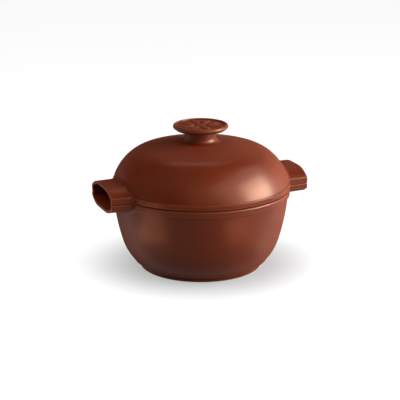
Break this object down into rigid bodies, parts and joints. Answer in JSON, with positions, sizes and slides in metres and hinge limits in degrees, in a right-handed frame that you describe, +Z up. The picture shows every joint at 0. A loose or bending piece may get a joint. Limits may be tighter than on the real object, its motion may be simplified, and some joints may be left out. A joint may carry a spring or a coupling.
{
  "type": "ceramic casserole pot",
  "caption": "Round glazed ceramic casserole with a domed lift-off lid, a waisted disc knob and hollow side ears that are split at the seam between pot and lid.",
  "frame": {"origin": "middle of the foot ring's underside, on the pot's axis", "axes": "+Z up along the pot's axis, +X along the line through both ears"},
  "size_m": [0.315, 0.268, 0.2165],
  "materials": {
    "glaze": "satin"
  },
  "bodies": {
    "pot": {"pot_body": "glaze", "pot_ear_left": "glaze", "pot_ear_right": "glaze"},
    "lid": {"lid_dome": "glaze", "lid_ear_left": "glaze", "lid_ear_right": "glaze", "knob": "glaze"}
  },
  "joints": [
    {"name": "lid_lift", "type": "slide", "parent": "pot", "child": "lid", "axis": [0, 0, 1], "range_m": [0, 0.15]}
  ]
}
